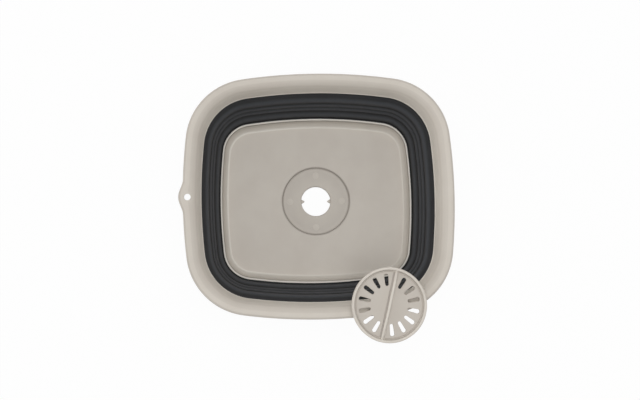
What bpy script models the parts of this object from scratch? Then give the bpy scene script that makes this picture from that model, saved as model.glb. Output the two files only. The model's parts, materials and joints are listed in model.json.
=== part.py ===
"""Collapsible camp washbasin.

A hard rim and a hard base tray are joined by a soft wall that folds down in two steps.
A round strainer with a plug collar belongs in the drain and stands on the rim's front corner.
Units are metres. +Z is up, +X runs along the long sides, and the hanging ear points to -X.
"""

import math

import bmesh
import bpy
from mathutils import Vector

# Rim outline, seen from above
RIM_LENGTH = 0.3738
RIM_WIDTH = 0.3386
RIM_CORNER_RADIUS = 0.0900
END_ARC_RADIUS = 0.7500
SIDE_ARC_RADIUS = 0.7400
WALL_LEAN_SHARE = 1.092

# Rim section, from the outer edge inwards
FLANGE_WIDTH = 0.0138
EDGE_RADIUS = 0.0026
SHOULDER_RUN = 0.0044
SHOULDER_DROP = 0.0050
RIM_WALL_RUN = 0.0050
RIM_WALL_HEIGHT = 0.0280
RIM_THICKNESS = 0.0022
LIP_DEPTH = 0.0090

# Hanging ear
EAR_REACH = 0.0062
EAR_HALF_WIDTH = 0.0245
EAR_HOLE_RADIUS = 0.0045
EAR_HOLE_INSET = 0.0068

# Soft wall, from the rim down
RIM_COLLAR_HEIGHT = 0.0060
RIM_COLLAR_RUN = 0.0030
RIM_COLLAR_BEAD = 0.0012
UPPER_FOLD_HEIGHT = 0.0200
UPPER_FOLD_RUN = 0.0057
MID_BAND_HEIGHT = 0.0250
MID_BAND_RUN = 0.0064
LOWER_FOLD_HEIGHT = 0.0190
LOWER_FOLD_RUN = 0.0040
BASE_COLLAR_HEIGHT = 0.0060
BASE_COLLAR_THICKNESS = 0.0029
BASE_COLLAR_RISE = 0.0020
HINGE_THICKNESS = 0.0016
FOLD_BELLY = 0.0011
BAND_BELLY = 0.0013
BACK_BELLY_SHARE = 0.45

# Tongues of the hard parts, gripped by the soft collars
TONGUE_THICKNESS = 0.0011
TONGUE_LENGTH = 0.0022
SEAM_GAP = 0.0003

# Base tray
TRAY_HEIGHT = 0.0300
TRAY_THICKNESS = 0.0022
TRAY_LIP_WIDTH = 0.0020
TRAY_WALL_RUN = 0.0070
TRAY_FILLET = 0.0030
FLOOR_HEIGHT = 0.0140
SKIRT_DRAFT = 0.0020
FOOT_WIDTH = 0.0025
TRAY_RIB_THICKNESS = 0.0018
TRAY_RIB_DEPTH = 0.0040

# Drain
RECESS_RUN = 0.0024
RECESS_DEPTH = 0.0032
RECESS_FALL = 0.0022
DRAIN_RADIUS = 0.02225
DRAIN_EDGE_RADIUS = 0.0014
DRAIN_WALL = 0.0023
DRAIN_CLEARANCE = 0.0016
TOOTH_REACH = 0.0050
TOOTH_WIDTH = 0.0070
TOOTH_TIP_WIDTH = 0.0014
TOOTH_THICKNESS = 0.0020

# Strainer
STRAINER_RADIUS = 0.0508
STRAINER_FLOOR = 0.0022
STRAINER_RING_WIDTH = 0.0038
STRAINER_RING_RISE = 0.0040
STRAINER_RING_FOOT = 0.0015
RING_SLOPE_RUN = 0.0012
SLOTS_PER_SIDE = 7
FIRST_SLOT_ANGLE = math.radians(18.5)
SLOT_INNER_RADIUS = 0.0260
SLOT_OUTER_RADIUS = 0.0414
SLOT_INNER_WIDTH = 0.0043
SLOT_OUTER_WIDTH = 0.0056
GRIP_THICKNESS = 0.0032
GRIP_FOOT_THICKNESS = 0.0060
GRIP_HEIGHT = 0.0080
GRIP_TURN = math.radians(76.2)
STRAINER_PLACE_SHARE = 0.483
STRAINER_INSET = 0.0130

# Plug collar under the strainer, and its seal
SEAT_CLEARANCE = 0.0006
COLLAR_CLEARANCE = 0.00125
COLLAR_WALL = 0.0030
NOTCH_CLEARANCE = 0.0005
SEAL_WIDTH = 0.0024
SEAL_GROOVE_DEPTH = 0.0014
SEAL_GROOVE_LIFT = 0.0007
SEAL_SQUEEZE = 0.00025

# How far cutters and joined shapes run past a face
OVERRUN = 0.0010

# Facets
SIDE_SEGMENTS = 6
CORNER_SEGMENTS = 8
EAR_SEGMENTS = 10
BELLY_SEGMENTS = 4
ARC_SEGMENTS = 3
TURNED_SEGMENTS = 64
SLOT_END_SEGMENTS = 4

# Heights of the seams, from the table up
BASE_COLLAR_TOP = TRAY_HEIGHT + BASE_COLLAR_RISE
LOWER_FOLD_TOP = BASE_COLLAR_TOP + LOWER_FOLD_HEIGHT
MID_BAND_TOP = LOWER_FOLD_TOP + MID_BAND_HEIGHT
UPPER_FOLD_TOP = MID_BAND_TOP + UPPER_FOLD_HEIGHT
RIM_WALL_END = UPPER_FOLD_TOP + RIM_COLLAR_HEIGHT
RIM_TOP = RIM_WALL_END + RIM_WALL_HEIGHT

# Insets of the same seams from the rim's outer edge, on the inner face
RIM_WALL_INSET = FLANGE_WIDTH + SHOULDER_RUN + RIM_WALL_RUN
UPPER_FOLD_INSET = RIM_WALL_INSET + RIM_COLLAR_RUN
MID_BAND_INSET = UPPER_FOLD_INSET + UPPER_FOLD_RUN
LOWER_FOLD_INSET = MID_BAND_INSET + MID_BAND_RUN
BASE_COLLAR_INSET = LOWER_FOLD_INSET + LOWER_FOLD_RUN
TRAY_INSET = BASE_COLLAR_INSET - HINGE_THICKNESS + BASE_COLLAR_THICKNESS + SEAM_GAP
TRAY_WALL_TOP_INSET = TRAY_INSET + TRAY_LIP_WIDTH
TRAY_WALL_FOOT_INSET = TRAY_WALL_TOP_INSET + TRAY_WALL_RUN
FLOOR_INSET = TRAY_WALL_FOOT_INSET + TRAY_FILLET

# Drain and strainer sizes that follow each other
RECESS_RADIUS = STRAINER_RADIUS + SEAT_CLEARANCE
RECESS_FLOOR = FLOOR_HEIGHT - RECESS_DEPTH
DRAIN_TOP = RECESS_FLOOR - RECESS_FALL
COLLAR_RADIUS = DRAIN_RADIUS - COLLAR_CLEARANCE
SEATED_DISC = RECESS_FLOOR + STRAINER_RING_FOOT
COLLAR_DEPTH = SEATED_DISC - DRAIN_CLEARANCE
NOTCH_HEIGHT = TOOTH_THICKNESS + NOTCH_CLEARANCE
SEAL_GROOVE_FOOT = NOTCH_HEIGHT + SEAL_GROOVE_LIFT
DISC_FLOOR = COLLAR_DEPTH + STRAINER_FLOOR

# Place of the strainer on the rim's front corner, from the basin's axis
STRAINER_PLACE_X = RIM_LENGTH / 2 * STRAINER_PLACE_SHARE
STRAINER_PLACE_Y = -(
    math.sqrt((SIDE_ARC_RADIUS - STRAINER_INSET) ** 2 - STRAINER_PLACE_X ** 2)
    + RIM_WIDTH / 2
    - SIDE_ARC_RADIUS
)

# The origin lies under the middle of the whole part, so the basin's axis stands off it
FRONT_REACH = max(RIM_WIDTH / 2, STRAINER_RADIUS - STRAINER_PLACE_Y)
BASIN_AXIS = Vector((EAR_REACH / 2, (FRONT_REACH - RIM_WIDTH / 2) / 2, 0))


def linear(hex_colour):
    """Linear RGBA of an sRGB colour written as a hex number."""
    channels = [(hex_colour >> shift & 255) / 255 for shift in (16, 8, 0)]
    return [c / 12.92 if c <= 0.04045 else ((c + 0.055) / 1.055) ** 2.4 for c in channels] + [1]


def plastic(name, hex_colour, roughness):
    """A non-metal material of one colour."""
    material = bpy.data.materials.new(name)
    material.use_nodes = True
    shader = material.node_tree.nodes["Principled BSDF"]
    shader.inputs["Base Color"].default_value = linear(hex_colour)
    shader.inputs["Roughness"].default_value = roughness
    shader.inputs["Metallic"].default_value = 0
    return material


def corner_centre(half_length, half_width, corner_radius, end_radius, side_radius):
    """Centre of the corner arc that touches the end arc and the side arc from inside."""
    end_centre = Vector((half_length - end_radius, 0))
    side_centre = Vector((0, half_width - side_radius))
    end_reach = end_radius - corner_radius
    side_reach = side_radius - corner_radius
    across = side_centre - end_centre
    distance = across.length
    along = across / distance
    square = Vector((-along.y, along.x))
    step = (end_reach ** 2 - side_reach ** 2 + distance ** 2) / (2 * distance)
    rise = math.sqrt(end_reach ** 2 - step ** 2)
    return max((end_centre + along * step + square * rise * way for way in (1, -1)), key=sum)


def arc(centre, radius, start, end, segments):
    """Points of an arc, without its last one."""
    turns = (start + (end - start) * i / segments for i in range(segments))
    return [centre + radius * Vector((math.cos(turn), math.sin(turn))) for turn in turns]


def half_width_at(inset):
    """Half the width at an inset: below the rim the long sides lean a little more than the ends."""
    return RIM_WIDTH / 2 - inset - max(0, inset - RIM_WALL_INSET) * (WALL_LEAN_SHARE - 1)


def outline(inset):
    """Points of the basin's rounded outline, drawn in from the rim's edge by an inset."""
    half_length = RIM_LENGTH / 2 - inset
    half_width = half_width_at(inset)
    end_radius = END_ARC_RADIUS - inset
    side_radius = SIDE_ARC_RADIUS - inset
    corner_radius = RIM_CORNER_RADIUS - inset
    corner = corner_centre(half_length, half_width, corner_radius, end_radius, side_radius)
    end_centre = Vector((half_length - end_radius, 0))
    side_centre = Vector((0, half_width - side_radius))
    end_turn = math.atan2(*reversed(corner - end_centre))
    side_turn = math.atan2(*reversed(corner - side_centre))
    quarter = arc(end_centre, end_radius, 0, end_turn, SIDE_SEGMENTS // 2)
    quarter += arc(corner, corner_radius, end_turn, side_turn, CORNER_SEGMENTS)
    quarter += arc(side_centre, side_radius, side_turn, math.pi / 2, SIDE_SEGMENTS // 2)
    top = quarter + [Vector((0, half_width))] + [Vector((-p.x, p.y)) for p in reversed(quarter)]
    return top + [Vector((p.x, -p.y)) for p in reversed(top[1:-1])]


def rim_outline(inset):
    """The outline with finer points at the hanging ear, which swells out of the flange."""
    edge = outline(0)
    plain = outline(inset)
    kept = [i for i, p in enumerate(edge) if p.x > 0 or abs(p.y) > EAR_HALF_WIDTH]
    first = next(i for i, p in enumerate(edge) if p.x < 0 and abs(p.y) <= EAR_HALF_WIDTH)
    fade = max(0, 1 - max(0, inset - RIM_THICKNESS) / (FLANGE_WIDTH - RIM_THICKNESS))
    end_radius = END_ARC_RADIUS - inset
    ear = []
    for i in range(EAR_SEGMENTS + 1):
        y = EAR_HALF_WIDTH * (1 - 2 * i / EAR_SEGMENTS)
        swell = EAR_REACH * fade * math.cos(math.pi / 2 * y / EAR_HALF_WIDTH) ** 2
        bow = end_radius - math.sqrt(end_radius ** 2 - y ** 2)
        ear.append(Vector((-(RIM_LENGTH / 2 - inset - bow + swell), y)))
    before = [plain[i] for i in kept if i < first]
    after = [plain[i] for i in kept if i > first]
    return before + ear + after


def circle(radius, guide):
    """Points of a circle, each in the direction of the guide outline's own point."""
    return [radius * point.normalized() for point in guide]


def add_part(name, mesh, material, parent):
    """Finish a mesh as a smooth-shaded part with its own material."""
    mesh.materials.append(material)
    mesh.shade_smooth()
    mesh.set_sharp_from_angle(angle=math.radians(32))
    part = bpy.data.objects.new(name, mesh)
    part.parent = parent
    bpy.context.collection.objects.link(part)
    return part


def closed_mesh(name, build):
    """A mesh filled by a function, with its faces turned outwards."""
    shape = bmesh.new()
    build(shape)
    bmesh.ops.recalc_face_normals(shape, faces=shape.faces)
    mesh = bpy.data.meshes.new(name)
    shape.to_mesh(mesh)
    shape.free()
    return mesh


def hoop_mesh(name, stations):
    """A closed hoop through stations, each a ring of points and its height."""

    def build(shape):
        rings = [[shape.verts.new((p.x, p.y, z)) for p in points] for points, z in stations]
        for ring, following in zip(rings, rings[1:] + rings[:1]):
            for i in range(len(ring)):
                j = (i + 1) % len(ring)
                shape.faces.new((ring[i], ring[j], following[j], following[i]))

    return closed_mesh(name, build)


def turned_mesh(name, profile, segments):
    """A turned solid from radius and height pairs that start and end on its axis."""

    def build(shape):
        rings = []
        for radius, z in profile:
            if radius == 0:
                rings.append([shape.verts.new((0, 0, z))])
                continue
            turns = (2 * math.pi * (i + 1 / 2) / segments for i in range(segments))
            rings.append([shape.verts.new((radius * math.cos(t), radius * math.sin(t), z)) for t in turns])
        for ring, following in zip(rings, rings[1:]):
            for i in range(segments):
                j = (i + 1) % segments
                corners = [ring[i % len(ring)], ring[j % len(ring)]]
                corners += [following[j % len(following)], following[i % len(following)]]
                shape.faces.new(dict.fromkeys(corners))

    return closed_mesh(name, build)


def prism_mesh(name, outlines, bottom, top):
    """Upright prisms over outlines, each a list of (x, y) pairs."""

    def build(shape):
        for points in outlines:
            low = [shape.verts.new((x, y, bottom)) for x, y in points]
            high = [shape.verts.new((x, y, top)) for x, y in points]
            shape.faces.new(low)
            shape.faces.new(high)
            for i in range(len(points)):
                j = (i + 1) % len(points)
                shape.faces.new((low[i], low[j], high[j], high[i]))

    return closed_mesh(name, build)


def combine(part, tool_mesh, operation):
    """Join a mesh to a part, or cut it out, with a hidden tool object."""
    tool = bpy.data.objects.new(tool_mesh.name, tool_mesh)
    tool.parent = part
    tool.hide_render = True
    tool.display_type = "WIRE"
    bpy.context.collection.objects.link(tool)
    boolean = part.modifiers.new(tool_mesh.name, "BOOLEAN")
    boolean.operation = operation
    boolean.object = tool


def rim_profile():
    """Section of the rim: outer lip, flat flange, round shoulder, wall and tongue."""
    quarter = [math.pi / 2 * i / ARC_SEGMENTS for i in range(ARC_SEGMENTS + 1)]
    profile = [(0, RIM_TOP - LIP_DEPTH)]
    profile += [(EDGE_RADIUS * (1 - math.cos(t)), RIM_TOP - EDGE_RADIUS * (1 - math.sin(t))) for t in quarter]
    for t in quarter:
        drop = SHOULDER_DROP * (1 - math.cos(t))
        profile.append((FLANGE_WIDTH + SHOULDER_RUN * math.sin(t), RIM_TOP - drop))
    spare = (RIM_THICKNESS - TONGUE_THICKNESS) / 2
    tongue_end = RIM_WALL_END - TONGUE_LENGTH
    profile += [
        (RIM_WALL_INSET, RIM_WALL_END),
        (RIM_WALL_INSET - spare, RIM_WALL_END),
        (RIM_WALL_INSET - spare, tongue_end),
        (RIM_WALL_INSET - spare - TONGUE_THICKNESS, tongue_end),
        (RIM_WALL_INSET - spare - TONGUE_THICKNESS, RIM_WALL_END),
        (RIM_WALL_INSET - RIM_THICKNESS, RIM_WALL_END),
    ]
    for t in reversed(quarter):
        drop = (SHOULDER_DROP - RIM_THICKNESS) * (1 - math.cos(t))
        inset = FLANGE_WIDTH + (SHOULDER_RUN - RIM_THICKNESS) * math.sin(t)
        profile.append((inset, RIM_TOP - RIM_THICKNESS - drop))
    profile += [(RIM_THICKNESS, RIM_TOP - RIM_THICKNESS), (RIM_THICKNESS, RIM_TOP - LIP_DEPTH)]
    return profile


def make_rim(parent, material):
    """Hard carrying rim with its hanging ear."""
    stations = [(rim_outline(inset), z) for inset, z in rim_profile()]
    rim = add_part("rim", hoop_mesh("rim", stations), material, parent)
    hole_x = EAR_HOLE_INSET - RIM_LENGTH / 2
    turns = [2 * math.pi * i / TURNED_SEGMENTS for i in range(0, TURNED_SEGMENTS, 2)]
    hole = [(hole_x + EAR_HOLE_RADIUS * math.cos(t), EAR_HOLE_RADIUS * math.sin(t)) for t in turns]
    bottom = RIM_TOP - RIM_THICKNESS - OVERRUN
    combine(rim, prism_mesh("ear_hole_cutter", [hole], bottom, RIM_TOP + OVERRUN), "DIFFERENCE")


def soft_hoop(name, profile, parent, material):
    """One soft ring of the wall, from its section."""
    stations = [(outline(inset), z) for inset, z in profile]
    add_part(name, hoop_mesh(name, stations), material, parent)


def make_rim_collar(parent, material):
    """Soft bead that grips the rim's tongue."""
    spare = (RIM_THICKNESS - TONGUE_THICKNESS) / 2
    groove_near = RIM_WALL_INSET - spare + SEAM_GAP
    groove_far = groove_near - TONGUE_THICKNESS - 2 * SEAM_GAP
    groove_end = RIM_WALL_END - TONGUE_LENGTH - SEAM_GAP
    top = RIM_WALL_END - SEAM_GAP
    back = RIM_WALL_INSET - RIM_THICKNESS - SEAM_GAP - HINGE_THICKNESS / 2
    profile = [
        (groove_near, top),
        (RIM_WALL_INSET + RIM_COLLAR_BEAD / 2, top),
        (RIM_WALL_INSET + RIM_COLLAR_BEAD, top - RIM_COLLAR_BEAD),
        (UPPER_FOLD_INSET, UPPER_FOLD_TOP),
        (UPPER_FOLD_INSET - HINGE_THICKNESS, UPPER_FOLD_TOP),
        (back, groove_end - SEAM_GAP),
        (back, top),
        (groove_far, top),
        (groove_far, groove_end),
        (groove_near, groove_end),
    ]
    soft_hoop("rim_collar", profile, parent, material)


def panel_points(top, bottom, belly):
    """Inner and outer points of one wall panel, thick in the middle and thin at its hinges."""
    run = bottom[0] - top[0]
    fall = top[1] - bottom[1]
    slant = math.hypot(run, fall)
    inner = []
    outer = []
    for i in range(BELLY_SEGMENTS + 1):
        share = i / BELLY_SEGMENTS
        swell = belly * math.sin(math.pi * share)
        inset = top[0] + run * share
        z = top[1] - fall * share
        inner.append((inset + swell * fall / slant, z + swell * run / slant))
        back = swell * BACK_BELLY_SHARE
        outer.append((inset - HINGE_THICKNESS - back * fall / slant, z - back * run / slant))
    return inner, outer


def make_panel(name, corners, belly, parent, material):
    """A ring of one or more panels between corners that run down the inner face."""
    inner = []
    outer = []
    for top, bottom in zip(corners, corners[1:]):
        face, back = panel_points(top, bottom, belly)
        inner += face if not inner else face[1:]
        outer += back if not outer else back[1:]
    soft_hoop(name, inner + outer[::-1], parent, material)


def make_wall(parents, material):
    """The folding wall's two folds and the stiff band between them."""
    upper_top = (UPPER_FOLD_INSET, UPPER_FOLD_TOP - SEAM_GAP)
    upper_foot = (MID_BAND_INSET, MID_BAND_TOP)
    make_panel("upper_fold", [upper_top, upper_foot], FOLD_BELLY, parents["band"], material)
    band_top = (MID_BAND_INSET, MID_BAND_TOP - SEAM_GAP)
    band_waist = ((MID_BAND_INSET + LOWER_FOLD_INSET) / 2, (MID_BAND_TOP + LOWER_FOLD_TOP) / 2)
    band_foot = (LOWER_FOLD_INSET, LOWER_FOLD_TOP)
    make_panel("mid_band", [band_top, band_waist, band_foot], BAND_BELLY, parents["band"], material)
    lower_top = (LOWER_FOLD_INSET, LOWER_FOLD_TOP - SEAM_GAP)
    lower_foot = (BASE_COLLAR_INSET, BASE_COLLAR_TOP)
    make_panel("lower_fold", [lower_top, lower_foot], FOLD_BELLY, parents["base"], material)


def make_base_collar(parent, material):
    """Soft bead that grips the tray's tongue."""
    face = TRAY_INSET - SEAM_GAP
    back = face - BASE_COLLAR_THICKNESS
    groove = TRAY_INSET - BASE_COLLAR_THICKNESS / 2 - SEAM_GAP
    top = BASE_COLLAR_TOP - SEAM_GAP
    foot = TRAY_HEIGHT - BASE_COLLAR_HEIGHT
    tongue_low = foot + TONGUE_THICKNESS
    profile = [
        (back, foot),
        (face, foot),
        (face, tongue_low - SEAM_GAP),
        (groove, tongue_low - SEAM_GAP),
        (groove, tongue_low + TONGUE_THICKNESS + SEAM_GAP),
        (face, tongue_low + TONGUE_THICKNESS + SEAM_GAP),
        (face, TRAY_HEIGHT),
        (BASE_COLLAR_INSET, top),
        (back, top),
    ]
    soft_hoop("base_collar", profile, parent, material)


def tray_stations():
    """Rings of points around the tray's section, from the drain out and back underneath."""
    guide = outline(FLOOR_INSET)
    quarter = [math.pi / 2 * i / ARC_SEGMENTS for i in range(ARC_SEGMENTS + 1)]
    drain_back = DRAIN_RADIUS + DRAIN_WALL
    recess_back = RECESS_RADIUS - RECESS_RUN + TRAY_THICKNESS
    stations = [(circle(DRAIN_RADIUS, guide), DRAIN_CLEARANCE)]
    for t in quarter:
        radius = DRAIN_RADIUS + DRAIN_EDGE_RADIUS * (1 - math.cos(t))
        stations.append((circle(radius, guide), DRAIN_TOP - DRAIN_EDGE_RADIUS * (1 - math.sin(t))))
    stations.append((circle(RECESS_RADIUS - RECESS_RUN, guide), RECESS_FLOOR))
    stations.append((circle(RECESS_RADIUS, guide), FLOOR_HEIGHT))
    stations.append((guide, FLOOR_HEIGHT))
    wall_foot = FLOOR_HEIGHT + TRAY_FILLET
    tongue = TRAY_INSET - BASE_COLLAR_THICKNESS / 2
    tongue_low = TRAY_HEIGHT - BASE_COLLAR_HEIGHT + TONGUE_THICKNESS
    slope = (TRAY_WALL_FOOT_INSET - TRAY_WALL_TOP_INSET) / (TRAY_HEIGHT - wall_foot)
    crotch = TRAY_HEIGHT - TRAY_THICKNESS - FOOT_WIDTH / slope
    skirt = [
        (FLOOR_INSET - TRAY_FILLET * 2 / 3, FLOOR_HEIGHT + TRAY_FILLET / 4),
        (TRAY_WALL_FOOT_INSET, wall_foot),
        (TRAY_WALL_TOP_INSET, TRAY_HEIGHT - TRAY_LIP_WIDTH / 3),
        (TRAY_INSET + TRAY_LIP_WIDTH * 2 / 3, TRAY_HEIGHT),
        (TRAY_INSET, TRAY_HEIGHT),
        (TRAY_INSET, tongue_low + TONGUE_THICKNESS),
        (tongue, tongue_low + TONGUE_THICKNESS),
        (tongue, tongue_low),
        (TRAY_INSET, tongue_low),
        (TRAY_INSET + SKIRT_DRAFT, 0),
        (TRAY_INSET + SKIRT_DRAFT + FOOT_WIDTH, 0),
        (TRAY_INSET + FOOT_WIDTH, crotch),
        (TRAY_WALL_FOOT_INSET - TRAY_THICKNESS, wall_foot - TRAY_THICKNESS / 2),
        (FLOOR_INSET - TRAY_THICKNESS, FLOOR_HEIGHT - TRAY_THICKNESS),
    ]
    stations += [(outline(inset), z) for inset, z in skirt]
    stations += [
        (circle(recess_back + TRAY_THICKNESS / 2, guide), FLOOR_HEIGHT - TRAY_THICKNESS),
        (circle(recess_back, guide), RECESS_FLOOR - TRAY_THICKNESS),
        (circle(drain_back, guide), DRAIN_TOP - TRAY_THICKNESS),
        (circle(drain_back, guide), DRAIN_CLEARANCE),
    ]
    return stations


def drain_teeth():
    """Outlines of the two pointed teeth that reach into the drain."""
    root = DRAIN_RADIUS + DRAIN_WALL / 2
    tip = DRAIN_RADIUS - TOOTH_REACH
    half_root = TOOTH_WIDTH / 2
    half_tip = TOOTH_TIP_WIDTH / 2
    tooth = [(root, -half_root), (DRAIN_RADIUS, -half_root), (tip, -half_tip)]
    tooth += [(x, -y) for x, y in reversed(tooth)]
    return [tooth, [(-x, -y) for x, y in tooth]]


def floor_ribs():
    """Outlines of the four stiffening ribs under the tray's floor."""
    near = RECESS_RADIUS - RECESS_RUN + TRAY_THICKNESS
    far_x = RIM_LENGTH / 2 - TRAY_WALL_FOOT_INSET
    far_y = half_width_at(TRAY_WALL_FOOT_INSET)
    half = TRAY_RIB_THICKNESS / 2
    along = [[(near * s, -half), (far_x * s, -half), (far_x * s, half), (near * s, half)] for s in (1, -1)]
    across = [[(-half, near * s), (-half, far_y * s), (half, far_y * s), (half, near * s)] for s in (1, -1)]
    return along + across


def make_base_tray(parent, material):
    """Hard tray with its foot ring, strainer recess and drain."""
    tray = add_part("base_tray", hoop_mesh("base_tray", tray_stations()), material, parent)
    teeth_top = DRAIN_CLEARANCE + TOOTH_THICKNESS
    combine(tray, prism_mesh("drain_teeth", drain_teeth(), DRAIN_CLEARANCE, teeth_top), "UNION")
    rib_top = FLOOR_HEIGHT - TRAY_THICKNESS / 2
    rib_foot = FLOOR_HEIGHT - TRAY_THICKNESS - TRAY_RIB_DEPTH
    combine(tray, prism_mesh("floor_ribs", floor_ribs(), rib_foot, rib_top), "UNION")


def strainer_profile():
    """Section of the strainer: dished disc with a raised ring, and the plug collar below."""
    ring_inner = STRAINER_RADIUS - STRAINER_RING_WIDTH
    ring_top = DISC_FLOOR + STRAINER_RING_RISE
    ring_foot = COLLAR_DEPTH - STRAINER_RING_FOOT
    edge = STRAINER_RING_WIDTH / 4
    groove_radius = COLLAR_RADIUS - SEAL_GROOVE_DEPTH
    groove_top = SEAL_GROOVE_FOOT + SEAL_WIDTH + 2 * SEAM_GAP
    bore = COLLAR_RADIUS - COLLAR_WALL
    return [
        (0, DISC_FLOOR),
        (ring_inner - RING_SLOPE_RUN, DISC_FLOOR),
        (ring_inner, ring_top - edge),
        (ring_inner + edge, ring_top),
        (STRAINER_RADIUS - edge, ring_top),
        (STRAINER_RADIUS, ring_top - edge),
        (STRAINER_RADIUS, ring_foot),
        (ring_inner + edge, ring_foot),
        (ring_inner, COLLAR_DEPTH),
        (COLLAR_RADIUS, COLLAR_DEPTH),
        (COLLAR_RADIUS, groove_top),
        (groove_radius, groove_top),
        (groove_radius, SEAL_GROOVE_FOOT),
        (COLLAR_RADIUS, SEAL_GROOVE_FOOT),
        (COLLAR_RADIUS, 0),
        (bore, 0),
        (bore, COLLAR_DEPTH),
        (0, COLLAR_DEPTH),
    ]


def slot_outline(turn):
    """A slot with round ends that widens outwards, turned about the strainer's axis."""
    inner = SLOT_INNER_WIDTH / 2
    outer = SLOT_OUTER_WIDTH / 2
    points = []
    for i in range(SLOT_END_SEGMENTS + 1):
        t = math.pi * (i / SLOT_END_SEGMENTS - 1 / 2)
        points.append((SLOT_OUTER_RADIUS - outer + outer * math.cos(t), outer * math.sin(t)))
    for i in range(SLOT_END_SEGMENTS + 1):
        t = math.pi * (i / SLOT_END_SEGMENTS + 1 / 2)
        points.append((SLOT_INNER_RADIUS + inner + inner * math.cos(t), inner * math.sin(t)))
    cos = math.cos(turn)
    sin = math.sin(turn)
    return [(x * cos - y * sin, x * sin + y * cos) for x, y in points]


def slot_turns():
    """Directions of the slots: an even row on each side of the grip."""
    pitch = (math.pi - 2 * FIRST_SLOT_ANGLE) / (SLOTS_PER_SIDE - 1)
    side = [FIRST_SLOT_ANGLE + pitch * i for i in range(SLOTS_PER_SIDE)]
    return side + [turn + math.pi for turn in side]


def grip_mesh():
    """The grip rib, which runs from ring to ring and rises to a low arch."""
    reach = STRAINER_RADIUS - STRAINER_RING_WIDTH / 2
    foot = COLLAR_DEPTH + STRAINER_FLOOR / 2
    shoulder = reach - STRAINER_RING_WIDTH
    low = STRAINER_RING_RISE * 2 / 3
    sections = [(-reach, low), (-shoulder, low), (-shoulder / 2, GRIP_HEIGHT), (shoulder / 2, GRIP_HEIGHT)]
    sections += [(shoulder, low), (reach, low)]

    def build(shape):
        rings = []
        for x, height in sections:
            top = DISC_FLOOR + height
            half_top = GRIP_THICKNESS / 2
            half_foot = GRIP_FOOT_THICKNESS / 2
            corners = [(-half_foot, foot), (half_foot, foot), (half_top, top), (-half_top, top)]
            rings.append([shape.verts.new((x, y, z)) for y, z in corners])
        shape.faces.new(rings[0])
        shape.faces.new(rings[-1])
        for ring, following in zip(rings, rings[1:]):
            for i in range(4):
                j = (i + 1) % 4
                shape.faces.new((ring[i], ring[j], following[j], following[i]))
        bmesh.ops.triangulate(shape, faces=shape.faces)

    return closed_mesh("grip_rib", build)


def make_strainer(parent, material):
    """Strainer disc with its slots, grip rib, plug collar and bayonet notches."""
    mesh = turned_mesh("strainer", strainer_profile(), TURNED_SEGMENTS)
    strainer = add_part("strainer", mesh, material, parent)
    slots = [slot_outline(turn) for turn in slot_turns()]
    below = COLLAR_DEPTH - OVERRUN
    combine(strainer, grip_mesh(), "UNION")
    combine(strainer, prism_mesh("slot_cutters", slots, below, DISC_FLOOR + OVERRUN), "DIFFERENCE")
    half = TOOTH_WIDTH / 2 + NOTCH_CLEARANCE
    near = COLLAR_RADIUS - COLLAR_WALL - OVERRUN
    far = COLLAR_RADIUS + OVERRUN
    notch = [(near, -half), (far, -half), (far, half), (near, half)]
    notches = [notch, [(-x, -y) for x, y in notch]]
    combine(strainer, prism_mesh("notch_cutters", notches, -OVERRUN, NOTCH_HEIGHT), "DIFFERENCE")


def make_plug_seal(parent, material):
    """Rubber seal ring in the plug collar's groove."""
    inner = COLLAR_RADIUS - SEAL_GROOVE_DEPTH + SEAM_GAP
    outer = DRAIN_RADIUS + SEAL_SQUEEZE
    low = SEAL_GROOVE_FOOT + SEAM_GAP
    high = low + SEAL_WIDTH
    chamfer = SEAL_WIDTH / 4
    profile = [
        (inner, low),
        (outer - chamfer, low),
        (outer, low + chamfer),
        (outer, high - chamfer),
        (outer - chamfer, high),
        (inner, high),
    ]
    turns = [2 * math.pi * i / TURNED_SEGMENTS for i in range(TURNED_SEGMENTS)]
    stations = []
    for radius, z in profile:
        stations.append(([Vector((radius * math.cos(t), radius * math.sin(t))) for t in turns], z))
    add_part("plug_seal", hoop_mesh("plug_seal", stations), material, parent)


def add_axis(name, place, turn=0):
    """An empty that carries what moves along or about one axis."""
    axis = bpy.data.objects.new(name, None)
    axis.location = place
    axis.rotation_euler.z = turn
    bpy.context.collection.objects.link(axis)
    return axis


def main():
    for old in list(bpy.data.objects):
        bpy.data.objects.remove(old, do_unlink=True)
    hard = plastic("moulded_polypropylene", 0xC6BFB6, 0.5)
    soft = plastic("soft_elastomer", 0x36363A, 0.55)
    rubber = plastic("seal_rubber", 0x2A2A2C, 0.6)
    base_axis = add_axis("base_axis", BASIN_AXIS)
    band_axis = add_axis("band_axis", BASIN_AXIS)
    rim_axis = add_axis("rim_axis", BASIN_AXIS)
    make_base_tray(base_axis, hard)
    make_base_collar(base_axis, soft)
    make_wall({"band": band_axis, "base": base_axis}, soft)
    make_rim_collar(rim_axis, soft)
    make_rim(rim_axis, hard)
    strainer_foot = BASIN_AXIS + Vector((STRAINER_PLACE_X, STRAINER_PLACE_Y, RIM_TOP + SEAM_GAP))
    strainer_axis = add_axis("strainer_axis", strainer_foot, GRIP_TURN)
    make_strainer(strainer_axis, hard)
    make_plug_seal(strainer_axis, rubber)


main()
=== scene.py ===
"""Looks of a collapsible camp washbasin: hard rim, soft folding wall, base tray and strainer.

Shapes are drawn in millimetres from the basin's own sizes, about its upright axis, and each mesh
is scaled to metres once, when it is made. An inset is a distance inwards from the rim's edge.
"""
import json
import math

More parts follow.
